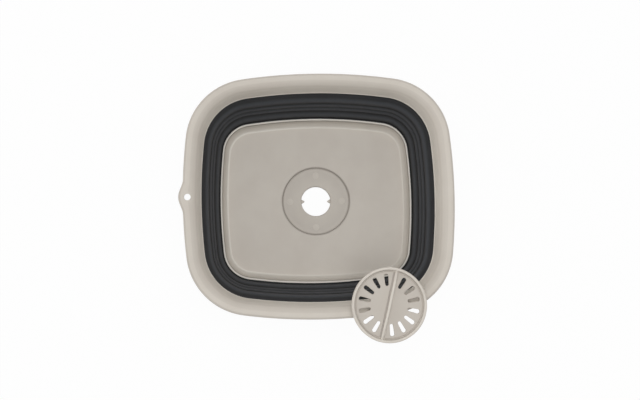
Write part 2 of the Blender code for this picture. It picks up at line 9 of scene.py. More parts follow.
import bmesh
import bpy
from mathutils import Matrix, Vector
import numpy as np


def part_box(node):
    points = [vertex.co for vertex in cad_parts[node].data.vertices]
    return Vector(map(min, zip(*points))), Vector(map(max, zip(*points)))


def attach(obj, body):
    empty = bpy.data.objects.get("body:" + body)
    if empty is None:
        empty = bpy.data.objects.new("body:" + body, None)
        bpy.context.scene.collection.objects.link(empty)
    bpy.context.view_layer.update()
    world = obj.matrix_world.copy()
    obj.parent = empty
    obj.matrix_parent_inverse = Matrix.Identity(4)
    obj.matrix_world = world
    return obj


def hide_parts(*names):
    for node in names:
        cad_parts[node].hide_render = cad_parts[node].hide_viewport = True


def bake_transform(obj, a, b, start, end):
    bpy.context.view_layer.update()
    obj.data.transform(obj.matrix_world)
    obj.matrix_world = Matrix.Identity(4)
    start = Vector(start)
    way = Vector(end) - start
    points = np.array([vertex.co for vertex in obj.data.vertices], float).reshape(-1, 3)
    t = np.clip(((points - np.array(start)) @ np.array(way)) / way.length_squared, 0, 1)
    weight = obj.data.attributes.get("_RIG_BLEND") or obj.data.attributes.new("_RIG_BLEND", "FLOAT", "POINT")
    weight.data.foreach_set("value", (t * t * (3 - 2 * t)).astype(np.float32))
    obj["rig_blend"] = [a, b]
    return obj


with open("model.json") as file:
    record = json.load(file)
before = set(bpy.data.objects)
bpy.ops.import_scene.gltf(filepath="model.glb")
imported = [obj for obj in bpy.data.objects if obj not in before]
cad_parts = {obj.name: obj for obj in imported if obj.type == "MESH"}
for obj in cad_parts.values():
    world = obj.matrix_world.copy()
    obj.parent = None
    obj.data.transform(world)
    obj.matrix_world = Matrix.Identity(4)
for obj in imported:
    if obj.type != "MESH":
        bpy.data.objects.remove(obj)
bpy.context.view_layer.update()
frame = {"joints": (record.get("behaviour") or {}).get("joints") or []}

MM = 0.001

# The basin's axis, and the heights where one piece of the wall ends and the next begins
tray_low, tray_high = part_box("base_tray")
BASIN_X = (tray_low.x + tray_high.x) / 2 / MM
BASIN_Y = (tray_low.y + tray_high.y) / 2 / MM
RIM_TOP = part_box("rim")[1].z / MM
RIM_DEPTH = 28
RIM_WALL_END = RIM_TOP - RIM_DEPTH
RIM_COLLAR_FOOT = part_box("rim_collar")[0].z / MM
BAND_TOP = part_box("upper_fold")[0].z / MM
BAND_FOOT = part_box("mid_band")[0].z / MM
TRAY_COLLAR_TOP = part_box("lower_fold")[0].z / MM
TRAY_TOP = tray_high.z / MM
FLOOR_TOP = 14.0

# Rim outline from above: straight-looking sides are long arcs, joined by corner arcs
RIM_LENGTH = 373.8
RIM_WIDTH = 338.6
CORNER_RADIUS = 90.0
END_ARC_RADIUS = 750.0
SIDE_ARC_RADIUS = 740.0
SIDE_STEPS = 24
CORNER_STEPS = 26

# Against the ends, the long sides draw in this much less per millimetre of inset on the rim, and
# this much more on the wall below it
RIM_GIVE = 0.03
WALL_LEAN = 0.125

# Rim section, and the hanging ear with its hole
RIM_THICKNESS = 2.2
LIP_DEPTH = 9
FLANGE_END = 13.8
EAR_REACH = 6.2
EAR_HALF_WIDTH = 24.5
EAR_HOLE_X = 6.3 - RIM_LENGTH / 2
EAR_HOLE_RADIUS = 4.5

# Insets of the seams on the wall's inner face. Where the wall starts it is a step wider than the
# rim and its corners are rounder; at the tray they are tighter
RIM_WALL_FOOT = 23.2
UPPER_HINGE = 26.2
BAND_HINGE = 31.4
LOWER_HINGE = 36.5
TRAY_HINGE = 42.3
TRAY_LIP = 43.9
HINGE_THICKNESS = 1.6
SEAM_STEP = 0.4
SEAM_EASE = 3.5
TRAY_EASE = -2.0

# The soft wall's panels: how far they stand in from the line between their hinges, how full they
# are towards the hinges, and the outer face's share of that and its painted shade
FOLD_BELLY = 1.5
BAND_BELLY = 1.1
PANEL_FULLNESS = 0.8
OUTER_BELLY_SHARE = 0.4
OUTER_PAINTED_SHADE = 0.4

# Base tray: the inset where its side meets the floor, how far the floor reaches each way, and how
# much more painted highlight the floor's edge gets at the back and at the left, as if lit from there
SIDE_FOOT = 52
FLOOR_EDGE = 55
TRAY_HALF = 120
BACK_EDGE_HIGHLIGHT = 0.25
LEFT_EDGE_HIGHLIGHT = 0.4
TRAY_THICKNESS = 2.2
RIB_REACH_X = 134
RIB_REACH_Y = 114
RIB_DEPTH = 4.2
RIB_OVERLAP = 0.2

# Strainer recess and drain
RECESS_RADIUS = 51.4
RECESS_FLAT = 46.0
RECESS_FLOOR = FLOOR_TOP - 3.4
DRAIN_RADIUS = 22.25
DRAIN_TOP = FLOOR_TOP - 5.4
DRAIN_FOOT = 1.6
DRAIN_TUBE = 2.3
TOOTH_REACH = 5
TOOTH_HALF_WIDTH = 3.5
MARK_RADIUS = 5.0
MARK_REACH = 39.0

# Strainer, in its own frame: the collar's foot is at zero
strainer_joint = next(j for j in frame["joints"] if j["name"] == "strainer_turn")
STRAINER_AXIS = Vector(strainer_joint["pos_m"])
STRAINER_TURN = math.radians(76.2)
STRAINER_RADIUS = 50.8
DISC_TOP = 12.9
DISC_UNDERSIDE = 10.7
# Painted shade on the disc's level top, which lies lower than its ring
DISC_PAINTED_SHADE = -0.19
DISC_STEPS = 160
RING_TOP = 16.9
COLLAR_RADIUS = 21.0
GROOVE_FOOT = 3.2
GROOVE_TOP = 6.2
NOTCH_HALF_WIDTH = 4
SEAL_STEPS = 128

# Its grip rib: the painted highlight on its crest, and its right flank's share of the painted shadow on its
# left one
GRIP_TOP = 20.9
GRIP_CREST_HIGHLIGHT = 0.45
GRIP_RIGHT_SHADOW_SHARE = 0.3

# Its slots lie between two circles, and are wider at the outer one
SLOTS_PER_SIDE = 7
FIRST_SLOT = math.radians(18.5)
SLOT_PITCH = (math.pi - 2 * FIRST_SLOT) / (SLOTS_PER_SIDE - 1)
SLOT_START = 25.6
SLOT_END = 42.0
SLOT_START_RADIUS = 2.25
SLOT_END_RADIUS = 2.9


def linear(hex_colour):
    """Linear RGBA of an sRGB colour written as a hex number."""
    channels = [(hex_colour >> shift & 255) / 255 for shift in (16, 8, 0)]
    return [c / 12.92 if c <= 0.04045 else ((c + 0.055) / 1.055) ** 2.4 for c in channels] + [1]


def add(tree, kind, inputs=None, **settings):
    """Add a node with its settings; each input is a value or another node's output."""
    made = tree.nodes.new(kind)
    for name, value in settings.items():
        setattr(made, name, value)
    for key, value in (inputs or {}).items():
        if isinstance(value, bpy.types.NodeSocket):
            tree.links.new(value, made.inputs[key])
        else:
            made.inputs[key].default_value = value
    return made


def calc(tree, operation, *values, **settings):
    """Output of a math node; each value is a number or another node's output."""
    inputs = dict(enumerate(values))
    return add(tree, "ShaderNodeMath", inputs, operation=operation, **settings).outputs[0]


# Shapes in plan and section

def corner_centre(half_length, half_width, corner_radius, end_radius, side_radius):
    """Centre of the corner arc that touches the end arc and the side arc from inside."""
    end_centre = Vector((half_length - end_radius, 0))
    side_centre = Vector((0, half_width - side_radius))
    end_reach = end_radius - corner_radius
    side_reach = side_radius - corner_radius
    across = side_centre - end_centre
    along = across.normalized()
    square = Vector((-along.y, along.x))
    step = (end_reach ** 2 - side_reach ** 2 + across.length_squared) / (2 * across.length)
    rise = math.sqrt(end_reach ** 2 - step ** 2)
    return max((end_centre + along * step + square * rise * way for way in (1, -1)), key=sum)


def arc(centre, radius, start, end, steps):
    """Points of an arc, without its last one."""
    turns = (start + (end - start) * i / steps for i in range(steps))
    return [centre + radius * Vector((math.cos(t), math.sin(t))) for t in turns]


def outline(inset, ease=0):
    """Points of the basin's rounded outline, drawn in from the rim's edge.

    The ease is added to the corners' radius.
    """
    half_length = RIM_LENGTH / 2 - inset
    half_width = RIM_WIDTH / 2 - inset
    half_width += RIM_GIVE * min(inset, RIM_WALL_FOOT) - WALL_LEAN * max(0, inset - RIM_WALL_FOOT)
    end_radius = END_ARC_RADIUS - inset
    side_radius = SIDE_ARC_RADIUS - inset
    radius = CORNER_RADIUS - inset + ease
    corner = corner_centre(half_length, half_width, radius, end_radius, side_radius)
    end_centre = Vector((half_length - end_radius, 0))
    side_centre = Vector((0, half_width - side_radius))
    end_turn = math.atan2(*reversed(corner - end_centre))
    side_turn = math.atan2(*reversed(corner - side_centre))
    quarter = arc(end_centre, end_radius, 0, end_turn, SIDE_STEPS)
    quarter += arc(corner, radius, end_turn, side_turn, CORNER_STEPS)
    quarter += arc(side_centre, side_radius, side_turn, math.pi / 2, SIDE_STEPS)
    back_half = quarter + [Vector((0, half_width))] + [Vector((-p.x, p.y)) for p in reversed(quarter)]
    return back_half + [Vector((p.x, -p.y)) for p in reversed(back_half[1:-1])]


def ring_at(radius, z, paint_level=0, steps=96):
    """A level ring of points about the upright axis."""
    turns = (2 * math.pi * (i + 0.5) / steps for i in range(steps))
    return [(radius * math.cos(t), radius * math.sin(t), z, paint_level) for t in turns]


def rounded(corners, closed=True, steps=5, most=0.48):
    """A section from (x, y, cut, paint) corners, each eased over its cut into a short curve.

    paint may be left out: it is painted light, where 1 is a painted highlight, 0 is plain and -1 is
    painted shade in a crease. No cut takes more than the given part of a side.
    """
    points = []
    for i, (x, y, cut, *rubbed) in enumerate(corners):
        paint_level = rubbed[0] if rubbed else 0
        here = Vector((x, y))
        if cut == 0 or (not closed and i in (0, len(corners) - 1)):
            points.append((x, y, paint_level))
            continue
        back = Vector(corners[i - 1][:2]) - here
        ahead = Vector(corners[(i + 1) % len(corners)][:2]) - here
        start = here + back.normalized() * min(cut, back.length * most)
        end = here + ahead.normalized() * min(cut, ahead.length * most)
        for k in range(steps + 1):
            s = k / steps
            points.append((*(start * (1 - s) ** 2 + here * 2 * s * (1 - s) + end * s ** 2), paint_level))
    return points


def panel(top, foot, belly, creases, steps=14):
    """Inner and outer faces of one wall panel: full in the middle and thin at its hinges.

    creases gives the painted light of the inner face's top and foot, down to painted shade; its crest
    always gets a painted highlight. The outer face gets painted shade at its hinges and a painted
    highlight where it stands out.
    """
    along = Vector(foot) - Vector(top)
    out = Vector((-along.y, along.x)).normalized()
    inner = []
    outer = []
    for i in range(steps + 1):
        share = i / steps
        crest = math.sin(math.pi * share)
        spot = Vector(top) + along * share
        face = spot + out * belly * crest ** PANEL_FULLNESS
        back = spot - Vector((HINGE_THICKNESS, 0)) - out * belly * crest * OUTER_BELLY_SHARE
        crease = creases[0] * (1 - share) + creases[1] * share
        inner.append((*face, crease + (1 - crease) * crest))
        outer.append((*back, crest - OUTER_PAINTED_SHADE))
    return inner, outer


# Making and finishing meshes

def finish_mesh(obj, crease=32, merge=0.002):
    """Merge close points, turn the faces outwards and shade smooth up to a crease.

    The crease is an angle in degrees, and merge a distance in millimetres.
    """
    shape = bmesh.new()
    shape.from_mesh(obj.data)
    bmesh.ops.remove_doubles(shape, verts=shape.verts, dist=merge * MM)
    bmesh.ops.recalc_face_normals(shape, faces=shape.faces)
    shape.to_mesh(obj.data)
    shape.free()
    obj.data.shade_smooth()
    obj.data.set_sharp_from_angle(angle=math.radians(crease))


def curve_object(name, splines, closed):
    """A helper curve of straight runs between points, in millimetres."""
    curve = bpy.data.curves.new(name, "CURVE")
    curve.dimensions = "3D"
    for points in splines:
        spline = curve.splines.new("POLY")
        spline.points.add(len(points) - 1)
        for target, point in zip(spline.points, points):
            target.co = (*point, *[0] * (3 - len(point)), 1)
        spline.use_cyclic_u = closed
    obj = bpy.data.objects.new(name, curve)
    bpy.context.scene.collection.objects.link(obj)
    return obj


def mesh_object(name, build):
    """A mesh filled by a function, at the size it draws, with its faces turned outwards."""
    shape = bmesh.new()
    # Each point carries a painted light value: above zero a painted highlight, below zero painted shade
    shape.verts.layers.float.new("rubbed")
    build(shape)
    bmesh.ops.recalc_face_normals(shape, faces=shape.faces)
    mesh = bpy.data.meshes.new(name)
    shape.to_mesh(mesh)
    shape.free()
    obj = bpy.data.objects.new(name, mesh)
    bpy.context.scene.collection.objects.link(obj)
    return obj


def solid(name, build, place, material):
    """A finished piece of one material, filled by a function in millimetres and set in place."""
    obj = mesh_object(name, build)
    obj.data.transform(place @ Matrix.Scale(MM, 4))
    obj.data.materials.append(material)
    finish_mesh(obj)
    return obj


def loft(shape, rings, closed=True):
    """Faces between rings of (x, y, z, painted light) points; an open loft gets its two ends filled."""
    rubbed = shape.verts.layers.float["rubbed"]
    verts = []
    for ring in rings:
        verts.append([shape.verts.new(p[:3]) for p in ring])
        for vertex, point in zip(verts[-1], ring):
            vertex[rubbed] = point[3]
    following = verts[1:] + verts[:1] if closed else verts[1:]
    for ring, after in zip(verts, following):
        for i in range(len(ring)):
            j = (i + 1) % len(ring)
            shape.faces.new((ring[i], ring[j], after[j], after[i]))
    if not closed:
        shape.faces.new(verts[0][::-1])
        shape.faces.new(verts[-1])


def discard(*helpers):
    """Remove helper objects once their shape is used."""
    for helper in helpers:
        bpy.data.objects.remove(helper, do_unlink=True)


def keep_result(obj, modifier):
    """Give an object the plain mesh that its modifier makes, and remove the modifier."""
    bpy.context.view_layer.update()
    graph = bpy.context.evaluated_depsgraph_get()
    mesh = bpy.data.meshes.new_from_object(obj.evaluated_get(graph), depsgraph=graph)
    obj.modifiers.remove(modifier)
    obj.data = mesh
    mesh.name = obj.name


def grow(name, tree, values, place):
    """Run a geometry tree with its named inputs and keep the result as a plain mesh in place."""
    host = bpy.data.objects.new(name, bpy.data.meshes.new(name))
    bpy.context.scene.collection.objects.link(host)
    modifier = host.modifiers.new(name, "NODES")
    modifier.node_group = tree
    sockets = {s.name: s.identifier for s in tree.interface.items_tree if s.in_out == "INPUT"}
    for key, value in values.items():
        modifier[sockets[key]] = value
    keep_result(host, modifier)
    host.data.transform(place @ Matrix.Scale(MM, 4))
    finish_mesh(host)
    return host


def absorb(obj, other):
    """Add another piece's mesh to a piece."""
    shape = bmesh.new()
    shape.from_mesh(obj.data)
    shape.from_mesh(other.data)
    shape.to_mesh(obj.data)
    shape.free()
    discard(other)


# Geometry trees

def new_tree(name, inputs):
    """An empty geometry tree with named inputs and one geometry output."""
    tree = bpy.data.node_groups.new(name, "GeometryNodeTree")
    tree.interface.new_socket("Geometry", in_out="OUTPUT", socket_type="NodeSocketGeometry")
    for socket_name, kind in inputs:
        tree.interface.new_socket(socket_name, in_out="INPUT", socket_type="NodeSocket" + kind)
    return tree, add(tree, "NodeGroupInput").outputs


def close_tree(tree, geometry, material):
    """End a tree in real geometry that wears its material."""
    real = add(tree, "GeometryNodeRealizeInstances", {"Geometry": geometry})
    painted = add(tree, "GeometryNodeSetMaterial", {
        "Geometry": real.outputs[0], "Material": material,
    })
    add(tree, "NodeGroupOutput", {"Geometry": painted.outputs[0]})
    return tree


def hoop_tree():
    """Sweep a section between two guide outlines.

    The section's x is its share of the way from the outer guide to the inner one, its y is a
    height, and its z is the painted light on that line of the ring: painted highlight above zero, painted
    shade below.
    """
    inputs = [("Outer guide", "Object"), ("Inner guide", "Object"), ("Section", "Object")]
    tree, given = new_tree("hoop_between_outlines", inputs + [("Material", "Material")])
    outer = add(tree, "GeometryNodeObjectInfo", {"Object": given["Outer guide"]})
    inner = add(tree, "GeometryNodeObjectInfo", {"Object": given["Inner guide"]})
    section = add(tree, "GeometryNodeObjectInfo", {"Object": given["Section"]})
    position = add(tree, "GeometryNodeInputPosition").outputs[0]
    index = add(tree, "GeometryNodeInputIndex").outputs[0]
    opposite = add(tree, "GeometryNodeSampleIndex", {
        "Geometry": inner.outputs["Geometry"], "Value": position, "Index": index,
    }, data_type="FLOAT_VECTOR", domain="POINT")
    walk = add(tree, "GeometryNodeCaptureAttribute", domain="POINT")
    for label in ("spot", "opposite"):
        walk.capture_items.new("VECTOR", label)
    tree.links.new(outer.outputs["Geometry"], walk.inputs["Geometry"])
    tree.links.new(position, walk.inputs["spot"])
    tree.links.new(opposite.outputs[0], walk.inputs["opposite"])
    cut = add(tree, "GeometryNodeCaptureAttribute", domain="POINT")
    cut.capture_items.new("VECTOR", "corner")
    tree.links.new(section.outputs["Geometry"], cut.inputs["Geometry"])
    tree.links.new(position, cut.inputs["corner"])
    swept = add(tree, "GeometryNodeCurveToMesh", {
        "Curve": walk.outputs["Geometry"], "Profile Curve": cut.outputs["Geometry"],
    })
    parts = add(tree, "ShaderNodeSeparateXYZ", {0: cut.outputs["corner"]}).outputs
    share = add(tree, "ShaderNodeCombineXYZ", {"X": parts["X"], "Y": parts["X"]})
    height = add(tree, "ShaderNodeCombineXYZ", {"Z": parts["Y"]})
    across = add(tree, "ShaderNodeVectorMath", {
        0: walk.outputs["opposite"], 1: walk.outputs["spot"],
    }, operation="SUBTRACT")
    lifted = add(tree, "ShaderNodeVectorMath", {
        0: walk.outputs["spot"], 1: height.outputs[0],
    }, operation="ADD")
    placed = add(tree, "ShaderNodeVectorMath", {
        0: across.outputs[0], 1: share.outputs[0], 2: lifted.outputs[0],
    }, operation="MULTIPLY_ADD")
    moved = add(tree, "GeometryNodeSetPosition", {
        "Geometry": swept.outputs[0], "Position": placed.outputs[0],
    })
    marked = add(tree, "GeometryNodeStoreNamedAttribute", {
        "Geometry": moved.outputs[0], "Name": "rubbed", "Value": parts["Z"],
    }, data_type="FLOAT", domain="POINT")
    return close_tree(tree, marked.outputs[0], given["Material"])


def rib_tree():
    """Run a tapering rib along each path."""
    inputs = [("Paths", "Object"), ("Foot width", "Float"), ("Root width", "Float")]
    inputs += [("Depth", "Float"), ("Material", "Material")]
    tree, given = new_tree("ribs_along_paths", inputs)
    path = add(tree, "GeometryNodeObjectInfo", {"Object": given["Paths"]})
    section = add(tree, "GeometryNodeCurvePrimitiveQuadrilateral", {
        "Height": given["Depth"], "Offset": 0.0,
        "Bottom Width": given["Root width"], "Top Width": given["Foot width"],
    }, mode="TRAPEZOID")
    swept = add(tree, "GeometryNodeCurveToMesh", {
        "Curve": path.outputs["Geometry"], "Profile Curve": section.outputs[0], "Fill Caps": True,
    })
    return close_tree(tree, swept.outputs[0], given["Material"])


def strainer_tree():
    """Join the grip rib to the disc, then cut a row of slots on each side of it and the notches."""
    shape_names = ("Disc", "Grip", "Slot", "Notches")
    inputs = [(name, "Object") for name in shape_names]
    inputs += [("Slots per side", "Int"), ("First slot", "Float"), ("Pitch", "Float")]
    tree, given = new_tree("slotted_strainer", inputs + [("Material", "Material")])
    shapes = {
        name: add(tree, "GeometryNodeObjectInfo", {"Object": given[name]}).outputs["Geometry"]
        for name in shape_names
    }
    per_side = given["Slots per side"]
    spots = add(tree, "GeometryNodePoints", {"Count": calc(tree, "MULTIPLY", per_side, 2.0)})
    index = add(tree, "GeometryNodeInputIndex").outputs[0]
    in_row = calc(tree, "MODULO", index, per_side)
    side = calc(tree, "FLOOR", calc(tree, "DIVIDE", index, per_side))
    turn_in_row = calc(tree, "MULTIPLY_ADD", in_row, given["Pitch"], given["First slot"])
    turn = calc(tree, "MULTIPLY_ADD", side, math.pi, turn_in_row)
    angles = add(tree, "ShaderNodeCombineXYZ", {"Z": turn})
    facing = add(tree, "FunctionNodeEulerToRotation", {0: angles.outputs[0]})
    slots = add(tree, "GeometryNodeInstanceOnPoints", {
        "Points": spots.outputs[0], "Instance": shapes["Slot"], "Rotation": facing.outputs[0],
    })
    cutters = add(tree, "GeometryNodeRealizeInstances", {0: slots.outputs[0]})
    joined = add(tree, "GeometryNodeMeshBoolean", operation="UNION", solver="EXACT")
    for shape in (shapes["Disc"], shapes["Grip"]):
        tree.links.new(shape, joined.inputs["Mesh 2"])
    cut = add(tree, "GeometryNodeMeshBoolean", {
        "Mesh 1": joined.outputs[0],
    }, operation="DIFFERENCE", solver="EXACT")
    for shape in (cutters.outputs[0], shapes["Notches"]):
        tree.links.new(shape, cut.inputs["Mesh 2"])
    return close_tree(tree, cut.outputs[0], given["Material"])


# Materials

# Scuffs are drawn out along one direction, with sizes in millimetres, and lie only where their
# noise peaks; they are smoother than the grain, and lower
SCUFF_SIZE = (2.5, 45, 9)
SCUFF_TURN = 0.6
SCUFF_PEAKS = (0.58, 0.72)
SCUFF_POLISH = -0.06
SCUFF_DEPTH = -0.35

# The part of a noise's range that is used, and how much the fine grain mottles the cloudy colour
NOISE_SPAN = (0.3, 0.7)
SPECKLE = 0.3


def noise(tree, place, scale, detail, roughness):
    """Output of a noise pattern."""
    return add(tree, "ShaderNodeTexNoise", {
        "Vector": place, "Scale": scale, "Detail": detail, "Roughness": roughness,
    }).outputs["Fac"]


def spread(tree, value, span, start=0.0, end=1.0):
    """A value's span laid over the range from start to end, and held there outside it."""
    return add(tree, "ShaderNodeMapRange", {
        "Value": value, "From Min": span[0], "From Max": span[1], "To Min": start, "To Max": end,
    }).outputs["Result"]


def tint(tree, factor, plain, full):
    """The first colour going over to the second by a factor."""
    return add(tree, "ShaderNodeMix", {
        "Factor": factor, "A": plain, "B": full,
    }, data_type="RGBA").outputs["Result"]


def surface(name, colours, shade_colour, rubbed, roughness, patch, grain, bump, ior, specular):
    """A moulded surface: cloudy colour, a painted shade colour for creases and a painted highlight colour
    for crests and edges, grain and scuffs.

    colours run from the darker to the lighter tone, roughness likewise; patch and grain are
    sizes in millimetres, and bump is the grain's depth in millimetres.
    """
    material = bpy.data.materials.new(name)
    material.use_nodes = True
    tree = material.node_tree
    shader = tree.nodes["Principled BSDF"].inputs
    place = add(tree, "ShaderNodeTexCoord").outputs["Object"]
    paint_factor = add(tree, "ShaderNodeAttribute", attribute_name="rubbed").outputs["Fac"]
    cloud = noise(tree, place, 1 / (patch * MM), 4.0, 0.55)
    fine = noise(tree, place, 1 / (grain * MM), 3.0, 0.6)
    drawn = add(tree, "ShaderNodeMapping", {
        "Vector": place, "Rotation": (0, 0, SCUFF_TURN),
        "Scale": [1 / (size * MM) for size in SCUFF_SIZE],
    })
    scuffed = spread(tree, noise(tree, drawn.outputs[0], 1.0, 2.0, 0.5), SCUFF_PEAKS)
    speckled = calc(tree, "MULTIPLY_ADD", fine, SPECKLE, spread(tree, cloud, NOISE_SPAN))
    plain_colour = tint(tree, speckled, linear(colours[0]), linear(colours[1]))
    # The painted light attribute mixes in the painted highlight colour above zero and the painted shade
    # colour below zero
    paint_level = tint(tree, paint_factor, plain_colour, linear(rubbed))
    shade_factor = calc(tree, "MULTIPLY", paint_factor, -1.0)
    colour = tint(tree, shade_factor, paint_level, linear(shade_colour))
    grained = spread(tree, fine, NOISE_SPAN, *roughness)
    gloss = calc(tree, "MULTIPLY_ADD", scuffed, SCUFF_POLISH, grained)
    depth = calc(tree, "MULTIPLY_ADD", scuffed, SCUFF_DEPTH, fine)
    relief = add(tree, "ShaderNodeBump", {"Height": depth, "Strength": 1.0, "Distance": bump * MM})
    tree.links.new(colour, shader["Base Color"])
    tree.links.new(gloss, shader["Roughness"])
    tree.links.new(relief.outputs["Normal"], shader["Normal"])
    shader["IOR"].default_value = ior
    shader["Specular IOR Level"].default_value = specular
    return material


# Injection-moulded polypropylene with a fine spark-eroded grain: satin, a little cloudy, warm
# grey, with a paler colour painted on thin edges as highlight and a darker one painted into grooves as shade
polypropylene = surface(
    "moulded_polypropylene", (0xC5BDB3, 0xCAC3B9), 0x8E8780, 0xDAD5CC,
    roughness=(0.44, 0.58), patch=38, grain=1.1, bump=0.018, ior=1.49, specular=0.4,
)
# Overmoulded soft elastomer: charcoal and dull, with a bluish grey painted on its fold crests as highlight
# and a darker colour painted into its creases as shade
elastomer = surface(
    "soft_elastomer", (0x2A2B2D, 0x303133), 0x1A1A1C, 0x43464B,
    roughness=(0.58, 0.72), patch=22, grain=0.9, bump=0.02, ior=1.51, specular=0.3,
)
# Compression-moulded rubber of the plug seal: near black and matt
seal_rubber = surface(
    "seal_rubber", (0x262628, 0x2E2E30), 0x1C1C1D, 0x38383A,
    roughness=(0.62, 0.75), patch=9, grain=0.7, bump=0.02, ior=1.52, specular=0.3,
)

# The basin's hoops: rim and soft wall

at_basin = Matrix.Translation((BASIN_X * MM, BASIN_Y * MM, 0))
RIM_REACH = (0, RIM_WALL_FOOT)
WALL_REACH = (RIM_WALL_FOOT, TRAY_LIP)
guides = {
    0: curve_object("rim_edge", [outline(0)], True),
    RIM_WALL_FOOT: curve_object("wall_top", [outline(RIM_WALL_FOOT - SEAM_STEP, SEAM_EASE)], True),
    TRAY_LIP: curve_object("wall_foot", [outline(TRAY_LIP, TRAY_EASE)], True),
}
hoops = hoop_tree()


def hoop(name, section, reach, material):
    """One closed ring of the basin; its section holds insets, heights and the painted light on it.

    reach gives the insets of the two guide outlines that the ring is drawn between.
    """
    start, end = reach
    shares = [((inset - start) / (end - start), z, paint_level) for inset, z, paint_level in section]
    cut = curve_object(name + "_section", [shares], True)
    ring = grow(name, hoops, {
        "Outer guide": guides[start], "Inner guide": guides[end], "Section": cut, "Material": material,
    }, at_basin)
    discard(cut)
    return ring


# The rim's last values are painted light: painted shade on the outer lip and the flange's fall, a painted
# highlight down the inner slope and a bright painted line at its foot
rim = hoop("carrying_rim", rounded([
    (0, RIM_TOP - LIP_DEPTH, 0.7, -0.4),
    (0, RIM_TOP, 2.6, -0.3),
    (6.2, RIM_TOP, 3.0, -0.05),
    (12.4, RIM_TOP - 1.8, 3.2, -0.17),
    (16.6, RIM_TOP - 5.4, 3.0, -0.1),
    (19.4, RIM_TOP - 12.5, 4.5, 0.15),
    (RIM_WALL_FOOT - 0.7, RIM_WALL_END + 2.2, 0.5, 0.2),
    (RIM_WALL_FOOT + 0.15, RIM_WALL_END + 1.3, 0.5, 0.7),
    (RIM_WALL_FOOT + 0.15, RIM_WALL_END, 0.2),
    (RIM_WALL_FOOT - RIM_THICKNESS, RIM_WALL_END, 0.2),
    (17.4, RIM_TOP - 13.5, 4.0),
    (14.8, RIM_TOP - 7.2, 2.4),
    (11.6, RIM_TOP - 4.1, 2.0),
    (6.5, RIM_TOP - 2.3, 2.4),
    (RIM_THICKNESS, RIM_TOP - RIM_THICKNESS, 1.2),
    (RIM_THICKNESS, RIM_TOP - LIP_DEPTH, 0.7),
], steps=8), RIM_REACH, polypropylene)


def swell_ear(obj):
    """Push the rim's edge out into the hanging ear, less and less towards the basin."""
    for vertex in obj.data.vertices:
        x = vertex.co.x / MM - BASIN_X
        y = vertex.co.y / MM - BASIN_Y
        if x > 0 or abs(y) >= EAR_HALF_WIDTH:
            continue
        bow = END_ARC_RADIUS - math.sqrt(END_ARC_RADIUS ** 2 - y ** 2)
        inset = x + RIM_LENGTH / 2 - bow
        fade = max(0, min(1, 1 - (inset - RIM_THICKNESS) / (FLANGE_END - RIM_THICKNESS)))
        vertex.co.x -= EAR_REACH * fade * math.cos(math.pi / 2 * y / EAR_HALF_WIDTH) ** 2 * MM


def cut_ear_hole(obj):
    """Cut the hanging hole with a small round-over at its top edge."""
    stations = [(EAR_HOLE_RADIUS, -5), (EAR_HOLE_RADIUS, -0.6), (EAR_HOLE_RADIUS + 0.2, -0.25)]
    stations += [(EAR_HOLE_RADIUS + 0.65, 0.05), (EAR_HOLE_RADIUS + 0.65, 2)]
    cutter = mesh_object("ear_hole", lambda shape: loft(shape, [ring_at(*s) for s in stations], False))
    place = Matrix.Translation((EAR_HOLE_X + BASIN_X, BASIN_Y, RIM_TOP))
    cutter.data.transform(Matrix.Scale(MM, 4) @ place)
    modifier = obj.modifiers.new("ear_hole", "BOOLEAN")
    modifier.operation = "DIFFERENCE"
    modifier.object = cutter
    keep_result(obj, modifier)
    discard(cutter)
    finish_mesh(obj)


swell_ear(rim)
cut_ear_hole(rim)

# The collar's face under the rim gets painted shade
rim_collar = hoop("rim_collar_soft", rounded([
    (RIM_WALL_FOOT - 0.1, RIM_WALL_END - 0.05, 0.1, -0.4),
    (RIM_WALL_FOOT + 0.7, RIM_WALL_END - 0.05, 0.4, -0.4),
    (RIM_WALL_FOOT + 0.9, RIM_WALL_END - 3.6, 1.4, -0.4),
    (UPPER_HINGE, RIM_COLLAR_FOOT, 0, -0.5),
    (UPPER_HINGE - HINGE_THICKNESS, RIM_COLLAR_FOOT, 0),
    (RIM_WALL_FOOT - 3.3, RIM_WALL_END - 2.9, 0.8),
    (RIM_WALL_FOOT - 3.3, RIM_WALL_END - 0.3, 0.4),
]), WALL_REACH, elastomer)


def wall_panels(name, hinges, belly):
    """A soft ring of panels between (inset, height, painted light) hinges that run down the inner face."""
    inner = []
    outer = []
    for top, foot in zip(hinges, hinges[1:]):
        face, back = panel(top[:2], foot[:2], belly, (top[2], foot[2]))
        inner += face[1:] if inner else face
        outer += back[1:] if outer else back
    return hoop(name, inner + outer[::-1], WALL_REACH, elastomer)


# Each hinge's last value is painted shade in its crease
collar_hinge = (UPPER_HINGE, RIM_COLLAR_FOOT, -0.5)
band_hinge = (BAND_HINGE, BAND_TOP, -1)
waist = ((BAND_HINGE + LOWER_HINGE) / 2, (BAND_TOP + BAND_FOOT) / 2, -0.3)
lower_hinge = (LOWER_HINGE, BAND_FOOT, -1)
tray_hinge = (TRAY_HINGE, TRAY_COLLAR_TOP, -1)
upper_fold = wall_panels("upper_fold_soft", [collar_hinge, band_hinge], FOLD_BELLY)
mid_band = wall_panels("mid_band_soft", [band_hinge, waist, lower_hinge], BAND_BELLY)
lower_fold = wall_panels("lower_fold_soft", [lower_hinge, tray_hinge], FOLD_BELLY)
